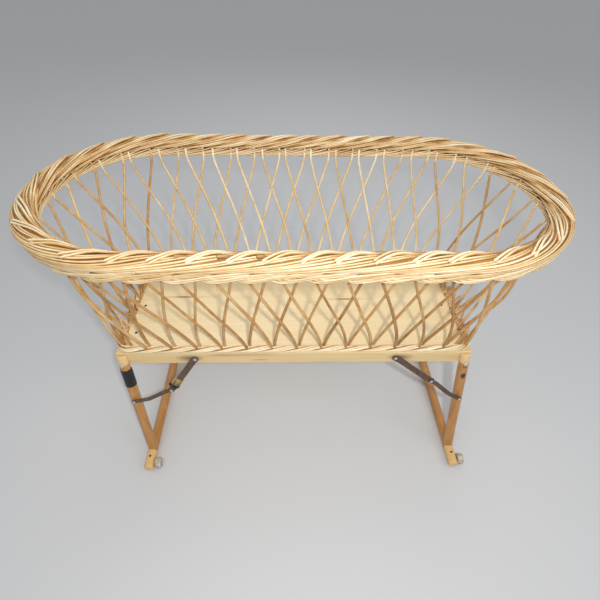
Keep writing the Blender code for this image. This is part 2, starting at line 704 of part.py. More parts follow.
def make_brace(name, side, end, lean, arms, empties):
    rail_pin = Vector((side * BRACE_RAIL_X, RAIL_MIDDLE))
    on_leg = leg_point(side, end, lean, BRACE_LEG_DROP, LEG_SIDE)
    leg_pin = Vector((on_leg.x, on_leg.z))
    knuckle = knuckle_place(side, rail_pin, leg_pin, *arms)
    leg_tab_y = abs(on_leg.y) + SWING_GAP + ARM_THICKNESS
    knuckle_y = (RAIL_TAB_Y + leg_tab_y) / 2
    lower_y = knuckle_y + ARM_THICKNESS + GAP
    upper = arm_mesh("upper", rail_pin, knuckle, end * RAIL_TAB_Y, end * knuckle_y,
                     UPPER_ARM_WIDTH, ARM_TAB, ARM_TAB)
    hang(add_part(f"{name}_upper_brace", upper, "brace_steel"), empties["rail_pin"])
    lower = arm_mesh("lower", knuckle, leg_pin, end * lower_y, end * leg_tab_y,
                     LOWER_ARM_WIDTH, ARM_TAB, LEG_TAB)
    hang(add_part(f"{name}_lower_brace", lower, "brace_steel"), empties["leg_pin"])
    head = (RIVET_HEAD_RADIUS, RIVET_HEAD_HEIGHT)
    screw_length = ARM_THICKNESS + SWING_GAP + SCREW_DEPTH
    # The rivet ends between the two arms, which may part a little as the stand folds.
    rivet_length = ARM_THICKNESS + GAP * 3 / 2
    for label, pin, tab_y, depth, owner in (
        ("rail_screw", rail_pin, RAIL_TAB_Y, screw_length, None),
        ("knuckle_rivet", knuckle, lower_y, rivet_length, "leg_pin"),
        ("leg_screw", leg_pin, leg_tab_y, screw_length, "stand"),
    ):
        under_head = end * (tab_y + ARM_THICKNESS / 2 + GAP)
        mesh = fastener_mesh(label, (pin.x, under_head, pin.y), (0, -end, 0), (RIVET_RADIUS, depth), head)
        screw = add_part(f"{name}_{label}", mesh, "bright_steel", smooth=True)
        if owner:
            hang(screw, empties[owner])


def arm_lengths():
    """The arms are straight in line on the stand that leans outward most."""
    lean = max(LEFT_LEAN, RIGHT_LEAN)
    leg_pin = leg_point(1, -1, lean, BRACE_LEG_DROP)
    span = math.hypot(leg_pin.x - BRACE_RAIL_X, leg_pin.z - RAIL_MIDDLE)
    return span * UPPER_ARM_SHARE, span * (1 - UPPER_ARM_SHARE)


def make_stand(name, side, lean):
    foot_drop = LEG_RISE / math.cos(lean)
    rail_x = leg_point(side, -1, lean, foot_drop).x
    stand = joint_empty(f"{name}_fold", (side * LEG_PIVOT_X, 0, PIVOT_Z))
    hang(make_floor_rail(f"{name}_floor_rail", rail_x), stand)
    make_wheels(name, side, rail_x, stand)
    for place, end in (("front", -1), ("rear", 1)):
        label = f"{name}_{place}"
        hang(make_leg(f"{label}_leg", side, end, lean), stand)
        head_y = LEG_PIVOT_Y + LEG_SIDE + LEG_SPLAY * BOLT_HEAD_RADIUS + RUNNING_GAP
        start = (side * LEG_PIVOT_X, end * head_y, PIVOT_Z)
        depth = head_y - BASE_HALF_WIDTH + BOLT_DEPTH
        bolt = fastener_mesh("bolt", start, (0, -end, 0), (BOLT_RADIUS, depth),
                             (BOLT_HEAD_RADIUS, BOLT_HEAD_HEIGHT))
        add_part(f"{label}_pivot_bolt", bolt, "bright_steel", smooth=True)
        leg_pin = leg_point(side, end, lean, BRACE_LEG_DROP)
        empties = {
            "stand": stand,
            "rail_pin": joint_empty(f"{label}_rail_pin", (side * BRACE_RAIL_X, 0, RAIL_MIDDLE)),
            "leg_pin": joint_empty(f"{label}_leg_pin", (leg_pin.x, 0, leg_pin.z)),
        }
        hang(empties["leg_pin"], stand)
        make_brace(label, side, end, lean, arm_lengths(), empties)


def make_tape():
    """A turn of black tape round the left front leg, open on the side that faces the rail."""
    top = leg_point(-1, -1, LEFT_LEAN, TAPE_TOP_DROP)
    bottom = leg_point(-1, -1, LEFT_LEAN, TAPE_TOP_DROP + TAPE_LENGTH)
    inner = DOWEL_RADIUS + GAP
    mesh = rod_mesh("tape", top, bottom, inner + TAPE_THICKNESS)
    tape = add_part("left_leg_tape", mesh, "tape", smooth=True)
    over = (top - bottom).normalized() * CUT_PAST
    core = add_helper("tape_core", rod_mesh("tape_core", top + over, bottom - over, inner))
    boolean(tape, "DIFFERENCE", core)
    boolean(tape, "DIFFERENCE", add_helper("tape_flat", flat_side_cutter(-1, -1, FLAT_Y)))
    hang(tape, bpy.data.objects["left_fold"])


make_base()
make_rim()
make_walls()
make_stand("left", -1, LEFT_LEAN)
make_stand("right", 1, RIGHT_LEAN)
make_tape()
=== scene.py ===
"""The look of the wicker bassinet on its folding dowel stand.

The basket's plain CAD rings and panels are replaced by woven willow: single sticks, plaited strands
and stubs. The rails, board, dowels, braces and wheels keep their CAD shapes and get materials here.
Everything is in metres, with +X along the basket, +Y to the rear and +Z up.
"""

import math
import random

import bpy
import numpy as np
from mathutils import Matrix, Vector


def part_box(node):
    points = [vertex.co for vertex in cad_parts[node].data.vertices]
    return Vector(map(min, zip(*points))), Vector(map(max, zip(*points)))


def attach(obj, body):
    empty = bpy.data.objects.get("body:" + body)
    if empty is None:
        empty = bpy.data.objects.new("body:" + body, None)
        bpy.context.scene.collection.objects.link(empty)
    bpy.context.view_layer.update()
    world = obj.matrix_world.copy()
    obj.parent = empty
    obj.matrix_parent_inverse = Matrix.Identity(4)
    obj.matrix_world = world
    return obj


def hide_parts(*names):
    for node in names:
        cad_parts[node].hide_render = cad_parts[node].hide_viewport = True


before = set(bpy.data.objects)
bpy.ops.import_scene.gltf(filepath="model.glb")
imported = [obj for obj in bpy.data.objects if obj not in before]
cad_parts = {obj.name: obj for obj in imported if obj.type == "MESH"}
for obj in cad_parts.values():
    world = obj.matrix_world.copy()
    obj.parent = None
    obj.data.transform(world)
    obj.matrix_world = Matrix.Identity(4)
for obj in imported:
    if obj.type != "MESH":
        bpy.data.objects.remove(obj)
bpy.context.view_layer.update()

# The basket's sizes, as the CAD has them
RIM_LOW, RIM_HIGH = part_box("rim_border")
WALE_LOW, WALE_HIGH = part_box("rim_wale")
BASE_LOW, BASE_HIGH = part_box("base_wale")
BOARD_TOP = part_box("bottom_board")[1].z
BORDER_WIDTH = 0.048        # to its mean surface, across the rim
BORDER_HEIGHT = RIM_HIGH.z - RIM_LOW.z
BORDER_MIDDLE = (RIM_HIGH.z + RIM_LOW.z) / 2
RIM_HALF_LENGTH = 0.531     # of the rim's centre line
RIM_HALF_WIDTH = 0.242
RIM_CORNER = 0.232
BASE_WALE_WIDTH = 0.014
BASE_WALE_HEIGHT = BASE_HIGH.z - BASE_LOW.z
FOOT_HALF_LENGTH = BASE_HIGH.x - BASE_WALE_WIDTH / 2
FOOT_HALF_WIDTH = BASE_HIGH.y - BASE_WALE_WIDTH / 2
FOOT_CORNER = 0.030
WALL_BOTTOM = BASE_HIGH.z
WALL_TOP = WALE_LOW.z

# The sticks. They stand in pairs, and each pair opens into a V whose arms cross the neighbours'.
PAIRS = 38                  # round the whole basket
LONG_SIDE_PITCH = 0.060     # between pairs' tops along the long sides
STICK_LEAN = 1.35           # pitches from a stick's foot to its top
STICK_SPLIT = 0.0036        # from a pair's middle to each foot
STICK_FOOT_RADIUS = 0.0036
STICK_HEAD_RADIUS = 0.0027
STICK_LAYER = 0.0030        # the two ways of leaning lie this far to either side of the wall
FOOT_DEPTH = 0.035          # share of the wall's height that a foot goes down into the wale
TIP_HEIGHT = 1.10           # share of the wall's height where a stick ends, inside the rim
PALE_TIP = 0.25             # of tone, where a stick crosses the rim's inner rows
STUBS_A_PAIR = 5            # cut ends beside each pair at the basket's ends
CORE_STEPS = 4              # points a pitch on the solid cores of the rim and the wales

rng = random.Random(11)


def vary(amount):
    """A seeded random number between minus and plus amount."""
    return rng.uniform(-amount, amount)


def smooth(value):
    """A soft step from 0 to 1."""
    value = min(max(value, 0.0), 1.0)
    return value * value * (3 - 2 * value)


# ---------------------------------------------------------------- paths round the basket

def loop_length(half_length, half_width, corner):
    return 4 * (half_length + half_width) - (8 - math.tau) * corner


def loop_point(half_length, half_width, corner, share):
    """(x, y, outward x, outward y) on a rounded rectangle, from the middle of its front side to +X."""
    straight_x, straight_y = half_length - corner, half_width - corner
    arc = corner * math.pi / 2
    distance = (share % 1.0) * loop_length(half_length, half_width, corner)
    runs = (
        (straight_x, "line", (0.0, -half_width), (1, 0)),
        (arc, "arc", (straight_x, -straight_y), -90),
        (2 * straight_y, "line", (half_length, -straight_y), (0, 1)),
        (arc, "arc", (straight_x, straight_y), 0),
        (2 * straight_x, "line", (straight_x, half_width), (-1, 0)),
        (arc, "arc", (-straight_x, straight_y), 90),
        (2 * straight_y, "line", (-half_length, straight_y), (0, -1)),
        (arc, "arc", (-straight_x, -straight_y), 180),
        (straight_x, "line", (-straight_x, -half_width), (1, 0)),
    )
    for length, kind, place, way in runs:
        if distance <= length:
            break
        distance -= length
    if kind == "line":
        return place[0] + way[0] * distance, place[1] + way[1] * distance, way[1], -way[0]
    angle = math.radians(way) + distance / corner
    out_x, out_y = math.cos(angle), math.sin(angle)
    return place[0] + corner * out_x, place[1] + corner * out_y, out_x, out_y


def foot_place(pairs):
    """The row of feet at this count of pairs from the middle of the front."""
    return loop_point(FOOT_HALF_LENGTH, FOOT_HALF_WIDTH, FOOT_CORNER, pairs / PAIRS)


def head_place(pairs):
    """The rim above the same count of pairs: the tops are closer together along the long sides."""
    quarter = PAIRS / 4
    side = round(pairs / (2 * quarter))
    offset = pairs - side * 2 * quarter
    perimeter = loop_length(RIM_HALF_LENGTH, RIM_HALF_WIDTH, RIM_CORNER)
    spread = (perimeter / 4 - LONG_SIDE_PITCH * quarter) / quarter ** 3
    along = LONG_SIDE_PITCH * offset + spread * offset ** 3
    return loop_point(RIM_HALF_LENGTH, RIM_HALF_WIDTH, RIM_CORNER, side / 2 + along / perimeter)


def beside(place, outward, z):
    """The point at this height and this far outward from a place on a loop."""
    x, y, out_x, out_y = place
    return np.array((x + out_x * outward, y + out_y * outward, z))


def wall_point(pairs, height, outward):
    """A point on the basket's wall: height is 0 at the sticks' feet and 1 at the rim's underside."""
    foot, head = foot_place(pairs), head_place(pairs)
    x, y, out_x, out_y = (low + (high - low) * height for low, high in zip(foot, head))
    length = math.hypot(out_x, out_y)
    return beside((x, y, out_x / length, out_y / length), outward,
                  WALL_BOTTOM + (WALL_TOP - WALL_BOTTOM) * height)


# ---------------------------------------------------------------- strands

# Painted shade: a strand's tone is lowered on its sides, where it meets its neighbours and shade falls.
CREASE_SHADE_DEPTH = 0.50         # of tone, at a strand's sides
CREASE_START = 0.93         # cosine of the turn from the crest where the darkening starts
CREASE_SPAN = 0.45          # and how far it falls until the darkening is full


class Weave:
    """Collects willow strands, each a tapered tube with a tone of its own, into one mesh."""

    def __init__(self, sides):
        self.sides = sides
        self.points, self.faces, self.tones, self.runs = [], [], [], []
        self.count = 0

    def strand(self, path, radii, tone, flat=1.0, facing=None):
        """A closed tube through the path.

        flat below 1 squeezes it across. facing is the way out of the weave at each point: a strand's
        sides, where it meets its neighbours, get painted shade and come out darker than its crest.
        """
        path = np.asarray(path, float)
        radii = np.broadcast_to(radii, len(path)).astype(float)
        tangents = np.gradient(path, axis=0)
        tangents /= np.linalg.norm(tangents, axis=1)[:, None]
        side = np.cross(tangents[0], (0.03, 0.05, 1.0))     # tilted, so that no strand runs along it
        turns = np.arange(self.sides) * math.tau / self.sides
        rings, crease_shades = [], []
        for index, (place, tangent, radius) in enumerate(zip(path, tangents, radii)):
            side = side - tangent * (side @ tangent)
            side /= np.linalg.norm(side)
            up = np.cross(side, tangent)
            ring = np.cos(turns)[:, None] * side + np.sin(turns)[:, None] * up * flat
            rings.append(place + radius * ring)
            exposed = np.ones(self.sides) if facing is None else ring @ facing[index]
            crease_shades.append(CREASE_SHADE_DEPTH * np.clip((CREASE_START - exposed) / CREASE_SPAN, 0, 1))
        first = self.count
        self.points.extend(np.concatenate(rings))
        lengths = np.concatenate(((0.0,), np.linalg.norm(np.diff(path, axis=0), axis=1)))
        offset = rng.uniform(0, 5)
        self.runs.extend(np.repeat(np.cumsum(lengths) + offset, self.sides))
        tones = np.repeat(np.broadcast_to(tone, len(path)), self.sides)
        self.tones.extend(tones - np.concatenate(crease_shades))
        for ring in range(len(path) - 1):
            for corner in range(self.sides):
                after = (corner + 1) % self.sides
                low, high = first + ring * self.sides, first + (ring + 1) * self.sides
                self.faces.append((low + corner, low + after, high + after, high + corner))
        self.faces.append(tuple(first + corner for corner in reversed(range(self.sides))))
        last = first + (len(path) - 1) * self.sides
        self.faces.append(tuple(last + corner for corner in range(self.sides)))
        self.count += len(path) * self.sides

    def finish(self, name, material, body):
        """Makes the piece, which rides on the body."""
        mesh = bpy.data.meshes.new(name)
        mesh.from_pydata([tuple(point) for point in self.points], [], self.faces)
        for label, values in (("tone", self.tones), ("run", self.runs)):
            mesh.attributes.new(label, "FLOAT", "POINT").data.foreach_set("value", values)
        mesh.shade_smooth()
        mesh.set_sharp_from_angle(angle=math.radians(60))
        mesh.materials.append(material)
        obj = bpy.data.objects.new(name, mesh)
        bpy.context.scene.collection.objects.link(obj)
        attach(obj, body)
        return obj


# ---------------------------------------------------------------- materials

MIX_FACTOR, MIX_UNDER, MIX_OVER, MIX_RESULT = 0, 6, 7, 2        # a colour Mix node's sockets
BUMP_DEPTH = 0.001


def linear(*colour):
    """A display colour as scene light."""
    return tuple(((c + 0.055) / 1.055) ** 2.4 if c > 0.04045 else c / 12.92 for c in colour) + (1.0,)


class Surface:
    """A material's node tree, built up from its base colour."""

    def __init__(self, name, roughness, metallic=0.0):
        self.material = bpy.data.materials.new(name)
        self.material.use_nodes = True
        self.tree = self.material.node_tree
        self.shader = self.tree.nodes["Principled BSDF"]
        self.shader.inputs["Roughness"].default_value = roughness
        self.shader.inputs["Metallic"].default_value = metallic
        self.coords = self.tree.nodes.new("ShaderNodeTexCoord").outputs["Object"]
        self.colour = None

    def node(self, kind, **values):
        made = self.tree.nodes.new(kind)
        for name, value in values.items():
            setattr(made, name, value)
        return made

    def link(self, source, target):
        self.tree.links.new(source, target)

    def attribute(self, name):
        return self.node("ShaderNodeAttribute", attribute_name=name).outputs["Fac"]

    def scaled(self, scale, vector=None):
        made = self.node("ShaderNodeVectorMath", operation="MULTIPLY")
        self.link(vector or self.coords, made.inputs[0])
        made.inputs[1].default_value = scale
        return made.outputs["Vector"]

    def noise(self, scale, detail, vector=None, low=0.3, high=0.7):
        """Noise between 0 and 1, stretched by a scale along each axis."""
        made = self.node("ShaderNodeTexNoise")
        made.inputs["Scale"].default_value = 1.0
        made.inputs["Detail"].default_value = detail
        self.link(self.scaled(scale, vector), made.inputs["Vector"])
        return self.ranged(made.outputs["Fac"], low, high)

    def ranged(self, value, low, high):
        """0 at low and 1 at high, with nothing outside that."""
        made = self.node("ShaderNodeMapRange")
        made.inputs["From Min"].default_value = low
        made.inputs["From Max"].default_value = high
        self.link(value, made.inputs["Value"])
        return made.outputs["Result"]

    def axis(self, name):
        made = self.node("ShaderNodeSeparateXYZ")
        self.link(self.coords, made.inputs[0])
        return made.outputs[name]

    def maths(self, operation, first, second):
        made = self.node("ShaderNodeMath", operation=operation)
        for socket, value in zip(made.inputs, (first, second)):
            if isinstance(value, (int, float)):
                socket.default_value = value
            else:
                self.link(value, socket)
        return made.outputs[0]

    def spot(self, centre, radii, edge):
        """1 inside an ellipsoid, fading to 0 past its edge."""
        moved = self.node("ShaderNodeVectorMath", operation="SUBTRACT")
        self.link(self.coords, moved.inputs[0])
        moved.inputs[1].default_value = centre
        shrunk = self.scaled(tuple(1 / radius for radius in radii), moved.outputs["Vector"])
        length = self.node("ShaderNodeVectorMath", operation="LENGTH")
        self.link(shrunk, length.inputs[0])
        return self.ranged(length.outputs["Value"], 1 + edge, 1 - edge)

    def mix(self, amount, colour, share=1.0):
        """Lays another colour over what is there, where amount is 1."""
        made = self.node("ShaderNodeMix", data_type="RGBA")
        self.link(self.maths("MULTIPLY", amount, share), made.inputs[MIX_FACTOR])
        self.set_colour(made.inputs[MIX_UNDER])
        made.inputs[MIX_OVER].default_value = colour
        self.colour = made.outputs[MIX_RESULT]

    def set_colour(self, target):
        """Gives a socket the colour so far, which is one colour or another node's output."""
        if isinstance(self.colour, tuple):
            target.default_value = self.colour
        else:
            self.link(self.colour, target)

    def bump(self, height, strength):
        made = self.node("ShaderNodeBump")
        made.inputs["Strength"].default_value = strength
        made.inputs["Distance"].default_value = BUMP_DEPTH
        self.link(height, made.inputs["Height"])
        self.link(made.outputs["Normal"], self.shader.inputs["Normal"])

    def done(self):
        """The finished material, with its colour in the shader."""
        self.set_colour(self.shader.inputs["Base Color"])
        return self.material


def willow():
    """Peeled willow: each strand has a tone from dark honey to pale straw, with streaks along it."""
    surface = Surface("peeled_willow", 0.48)
    # The tone attribute carries the strands' own tones together with the painted shade and light laid in by
    # the weave.
    tone, run = surface.attribute("tone"), surface.attribute("run")
    place = surface.node("ShaderNodeCombineXYZ")
    surface.link(run, place.inputs[0])
    surface.link(tone, place.inputs[1])
    streaks = surface.noise((14, 90, 1), 3, place.outputs[0])
    mottle = surface.noise((60, 60, 60), 2)
    level = tone
    for pattern, strength in ((streaks, 0.30), (mottle, 0.12)):
        change = surface.maths("MULTIPLY", surface.maths("SUBTRACT", pattern, 0.5), strength)
        level = surface.maths("ADD", level, change)
    ramp = surface.node("ShaderNodeValToRGB")
    stops = ((0.0, (0.51, 0.35, 0.19)), (0.35, (0.76, 0.57, 0.33)), (0.65, (0.87, 0.75, 0.54)),
             (1.0, (0.95, 0.91, 0.80)))
    elements = ramp.color_ramp.elements
    while len(elements) < len(stops):
        elements.new(0.5)
    for element, (position, colour) in zip(elements, stops):
        element.position = position
        element.color = linear(*colour)
    surface.link(level, ramp.inputs[0])
    surface.colour = ramp.outputs["Color"]
    surface.bump(surface.noise((60, 60, 60), 3), 0.15)
    return surface.done()


def pine():
    """Bare pine, grained along X, with a painted shadow beside each brace screw and two thin dark flaws in
    front.
    """
    surface = Surface("bare_pine", 0.55)
    surface.colour = linear(0.88, 0.78, 0.59)
    surface.mix(surface.noise((5, 70, 170), 4), linear(0.84, 0.70, 0.46), 0.7)
    surface.mix(surface.noise((3, 25, 60), 2, low=0.55, high=0.75), linear(0.66, 0.48, 0.27), 0.45)
    # Painted shadow: a dark patch on the rail's front face beside each brace screw, on its outer side.
    for side in (-1, 1):
        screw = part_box(f"{'left' if side < 0 else 'right'}_front_rail_screw")
        centre = (screw[0] + screw[1]) / 2
        centre.y = screw[0].y
        surface.mix(surface.spot(centre + Vector((side * 0.012, 0, 0.001)), (0.022, 0.02, 0.008), 0.7),
                    linear(0.33, 0.25, 0.20), 0.75)
    flaws = (
        # place, radii, colour, strength
        ((-0.085, -0.158, 0.334), (0.018, 0.004, 0.0011), (0.45, 0.29, 0.16), 0.8),
        ((-0.175, -0.158, 0.352), (0.020, 0.004, 0.0010), (0.50, 0.34, 0.20), 0.6),
    )
    for place, radii, colour, strength in flaws:
        surface.mix(surface.spot(place, radii, 0.5), linear(*colour), strength)
    surface.bump(surface.noise((6, 80, 200), 3), 0.10)
    return surface.done()


def plywood():
    """The board: pale rotary-cut face with soft figure along X, two knots and a few stains."""
    surface = Surface("plywood", 0.50)
    surface.colour = linear(0.96, 0.88, 0.71)
    surface.mix(surface.noise((2.2, 16, 1), 4, low=0.35, high=0.75), linear(0.93, 0.83, 0.63), 0.8)
    surface.mix(surface.noise((7, 110, 1), 4), linear(0.88, 0.76, 0.55), 0.35)
    surface.mix(surface.noise((1.2, 5, 1), 2, low=0.5, high=0.8), linear(0.90, 0.78, 0.56), 0.35)
    for x, y in ((-0.293, 0.029), (0.133, 0.020)):
        centre = Vector((x, y, BOARD_TOP))
        surface.mix(surface.spot(centre, (0.050, 0.0035, 0.01), 0.7), linear(0.78, 0.63, 0.42), 0.6)
        surface.mix(surface.spot(centre, (0.021, 0.0017, 0.01), 0.35), linear(0.34, 0.24, 0.15), 0.9)
    surface.mix(surface.spot((0.323, -0.085, BOARD_TOP), (0.016, 0.013, 0.01), 0.8),
                linear(0.66, 0.63, 0.66), 0.45)
    return surface.done()


def varnish(name, floor_rail=False):
    """Orange varnish on a dowel, worn through at a leg's top or at both ends of a floor rail."""
    surface = Surface(name, 0.36)
    surface.colour = linear(0.74, 0.53, 0.28)
    grain = (70, 5, 70) if floor_rail else (90, 90, 7)
    surface.mix(surface.noise(grain, 4), linear(0.62, 0.40, 0.18), 0.7)
    surface.mix(surface.noise((30, 30, 12), 3, low=0.55, high=0.75), linear(0.84, 0.62, 0.36), 0.55)
    if floor_rail:
        place, start, end = surface.maths("ABSOLUTE", surface.axis("Y"), 0), 0.217, 0.222
        bare = linear(0.86, 0.70, 0.46)
    else:
        place, start, end = surface.axis("Z"), 0.329, 0.335
        bare = linear(0.88, 0.74, 0.52)
    ragged = surface.maths("MULTIPLY", surface.noise((60, 60, 60), 2), 0.006)
    surface.mix(surface.ranged(surface.maths("ADD", place, ragged), start, end), bare)
    surface.shader.inputs["Coat Weight"].default_value = 0.25
    surface.shader.inputs["Coat Roughness"].default_value = 0.25
    return surface


def marked_leg():
    """The right front leg has a dark knot with a scratch above it."""
    surface = varnish("varnished_leg_with_mark")
    knot = surface.spot((0.4085, -0.178, 0.292), (0.006, 0.012, 0.009), 0.3)
    surface.mix(knot, linear(0.16, 0.12, 0.10), 0.95)
    scratch = surface.spot((0.4060, -0.172, 0.319), (0.0055, 0.008, 0.0025), 0.3)
    surface.mix(scratch, linear(0.30, 0.23, 0.18), 0.8)
    return surface.done()


def rusty_steel():
    """The braces: brown strap with darker scabs of rust."""
    surface = Surface("rusty_strap", 0.62, 0.35)
    surface.colour = linear(0.42, 0.37, 0.33)
    surface.mix(surface.noise((80, 80, 80), 4), linear(0.38, 0.25, 0.17), 0.85)
    surface.mix(surface.noise((200, 200, 200), 3, low=0.55, high=0.7), linear(0.22, 0.17, 0.14), 0.6)
    surface.bump(surface.noise((300, 300, 300), 3), 0.25)
    return surface.done()


def dull_steel():
    """The fasteners: grey metal with dirt in its hollows."""
    surface = Surface("dull_steel", 0.42, 0.5)
    surface.colour = linear(0.84, 0.82, 0.80)
    surface.mix(surface.noise((220, 220, 220), 3), linear(0.40, 0.33, 0.28), 0.5)
    return surface.done()


def old_wheel():
    """Yellowed grey-white plastic, scuffed all over."""
    surface = Surface("old_wheel", 0.55)
    surface.colour = linear(0.80, 0.75, 0.67)
    surface.mix(surface.noise((120, 120, 120), 4), linear(0.55, 0.50, 0.44), 0.8)
    return surface.done()


def black_tape():
    """Black cloth tape with the weave showing through."""
    surface = Surface("black_cloth_tape", 0.38)
    surface.colour = linear(0.085, 0.08, 0.08)
    surface.bump(surface.noise((260, 260, 90), 3), 0.35)
    return surface.done()


def yellow_tape():
    """Clear tape gone yellow and brown."""
    surface = Surface("yellowed_tape", 0.35)
    surface.colour = linear(0.74, 0.64, 0.38)
    surface.mix(surface.noise((120, 120, 120), 3), linear(0.55, 0.47, 0.33), 0.8)
    return surface.done()


def plain(name, colour, roughness, metallic=0.0):
    """One colour all over, for the floor and for things a few millimetres across."""
    surface = Surface(name, roughness, metallic)
    surface.colour = linear(*colour)
    return surface.done()


def paint(material, *names):
    """Gives CAD nodes this material."""
    for name in names:
        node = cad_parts[name]
        node.data.materials.clear()
        node.data.materials.append(material)


def dress_cad_nodes():
    """Materials for the CAD nodes that keep their shapes."""
    ends, halves = ("left", "right"), ("front", "rear")
    corners = [f"{end}_{half}" for end in ends for half in halves]
    paint(pine(), "front_rail", "rear_rail", "left_end_rail", "right_end_rail")
    paint(plywood(), "bottom_board")
    legs = varnish("varnished_leg").done()
    paint(legs, *[f"{corner}_leg" for corner in corners if corner != "right_front"])
    paint(marked_leg(), "right_front_leg")
    paint(varnish("varnished_floor_rail", True).done(), *[f"{end}_floor_rail" for end in ends])
    paint(rusty_steel(), *[f"{corner}_{arm}_brace" for corner in corners for arm in ("upper", "lower")])
    fasteners = ("pivot_bolt", "rail_screw", "knuckle_rivet", "leg_screw", "axle")
    paint(dull_steel(), *[f"{corner}_{kind}" for corner in corners for kind in fasteners])
    paint(old_wheel(), *[f"{corner}_wheel" for corner in corners])
    paint(black_tape(), "left_leg_tape")


# ---------------------------------------------------------------- basket

def stick_course(rise):
    """How far a stick has leaned at each share of its height: it leaves its row nearly upright."""
    rise = min(max(rise, 0.0), 1.0)
    return 0.4 * rise + 0.6 * rise * rise * (2.2 - 1.2 * rise)


def add_stick(weave, pair, way, foot_shift, head_shift, tone):
    """One stick of a pair, from inside the base wale up into the rim.

    way is 1 for a stick that leans anticlockwise from above. The shifts, in pitches, move its ends.
    """
    lean = STICK_LEAN + vary(0.05)
    sway, sway_at = vary(0.045), rng.uniform(0.35, 0.75)
    split = STICK_SPLIT * PAIRS / loop_length(FOOT_HALF_LENGTH, FOOT_HALF_WIDTH, FOOT_CORNER)
    layer = -way * STICK_LAYER
    tip = -0.0208 if way > 0 else -0.0190       # just inside the rim's inner rows
    tone += vary(0.12)
    steps, belly = 30, 0.0015
    path, radii, tones = [], [], []
    for step in range(steps + 1):
        height = -FOOT_DEPTH + step * (TIP_HEIGHT + FOOT_DEPTH) / steps
        rise = min(max(height, 0.0), 1.0)
        course = stick_course(height)
        bend = sway * math.exp(-((height - sway_at) / 0.22) ** 2)
        shift = foot_shift + (head_shift + vary(0.002) - foot_shift) * course
        pairs = pair + shift + way * (lean * course + split * (1 - course)) + bend
        outward = layer + (tip - layer) * rise ** 2
        path.append(wall_point(pairs, height, outward + belly * math.sin(math.pi * height)))
        radii.append(STICK_FOOT_RADIUS + (STICK_HEAD_RADIUS - STICK_FOOT_RADIUS) * rise)
        tones.append(tone + PALE_TIP * smooth((height - 1.0) / 0.04))
    weave.strand(path, np.array(radii) * (1 + vary(0.10)), tones)


def add_stubs(weave, pair):
    """The cut ends that stand up inside the wale beside a pair of sticks."""
    points = 5
    for _ in range(STUBS_A_PAIR):
        start, lean = pair + vary(0.40), vary(0.60)
        inward, rise = rng.uniform(0.003, 0.018), rng.uniform(0.10, 0.21)
        path = []
        for share in np.linspace(0, 1, points):
            path.append(wall_point(start + lean * share, -0.03 + rise * share, -0.006 - inward * share))
        weave.strand(path, np.linspace(0.0028, 0.0019, points), 0.46 + vary(0.25))


def make_sticks():
    """All the sticks, one piece for each side of the basket."""
    panels = ("front_corner_wall", "end_front_wall", "end_rear_wall", "rear_corner_wall")
    # The tones paint light and shade: the front sticks, seen from outside, are darker and the rear ones,
    # seen lit from inside, paler; the ends lie between.
    sides = (
        # name, pairs, shift of the feet, shift of the tops, tone with painted light and shade, panels that
        # it stands for
        ("front_sticks", range(-6, 7), 0.07, -0.30, 0.36, ["front_wall"]),
        ("right_end_sticks", range(7, 13), 0.0, 0.0, 0.46, [f"right_{panel}" for panel in panels]),
        ("rear_sticks", range(13, 26), 0.0, 0.0, 0.70, ["rear_wall"]),
        ("left_end_sticks", range(26, 32), 0.0, 0.0, 0.46, [f"left_{panel}" for panel in panels]),
    )
    for name, pairs, foot_shift, head_shift, tone, nodes in sides:
        weave = Weave(8)
        for pair in pairs:
            for way in (-1, 1):
                add_stick(weave, pair, way, foot_shift, head_shift, tone)
            if "end" in name:
                add_stubs(weave, pair)
        sticks = weave.finish(name, WILLOW, "basket")
        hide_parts(*nodes)


# Courses of the rim's strands. Along counts pitches of the pairs, angles go round the border's section
# from its outer side over the top, and lift is in millimetres above the border's surface.
LONG_STRAND = (
    # along, angle, lift
    (0.3, -98, -5.0), (0.55, -74, -0.6), (1.0, -50, 0.2), (1.6, -26, 0.3), (2.4, -2, 0.3), (3.2, 20, 0.3),
    (3.9, 38, 0.2), (4.4, 55, 0.3), (4.9, 71, 0.6), (5.2, 83, 0.4), (5.45, 93, -1.0), (5.8, 112, -4.0),
    (6.15, 138, -2.5), (6.6, 164, -0.4), (7.2, 192, -0.4), (7.7, 218, -0.6), (8.05, 240, -4.0))
ARCH_STRAND = (
    (0.0, 56, 0.0), (0.12, 71, 1.0), (0.3, 89, 2.8), (0.55, 107, 4.2), (0.8, 118, 3.2), (1.0, 126, 0.2),
    (1.2, 136, -2.4), (1.5, 150, -2.2), (1.9, 168, -3.0), (2.2, 182, -6.0))
CUT_END = ((0.0, 76, 3.0), (0.1, 79, 2.8), (0.25, 88, 0.0), (0.5, 96, -4.0))
CUT_ENDS = (-3.33, -2.23, -1.18)    # pitches from the middle of the front, where thick brown ends are
ARCH_START = 4.42           # along a long strand, where the arches of its group begin
# Along, outward and rise above the wale's underside, the last two in millimetres
OUTER_SCALLOP = ((-0.2, -2.0, 9.0), (0.0, 4.0, 4.6), (0.25, 11.0, -2.2), (0.55, 15.0, -4.2),
                 (0.85, 15.5, 0.2), (1.2, 15.0, 6.0), (1.6, 16.0, 10.0), (2.1, 17.0, 14.0),
                 (2.6, 16.5, 18.5))
INNER_SCALLOP = ((0.0, -11.0, 22.0), (0.3, -16.5, 18.5), (0.8, -16.5, 12.0), (1.3, -15.0, 5.8),
                 (1.7, -9.0, 3.0))
MM = 0.001
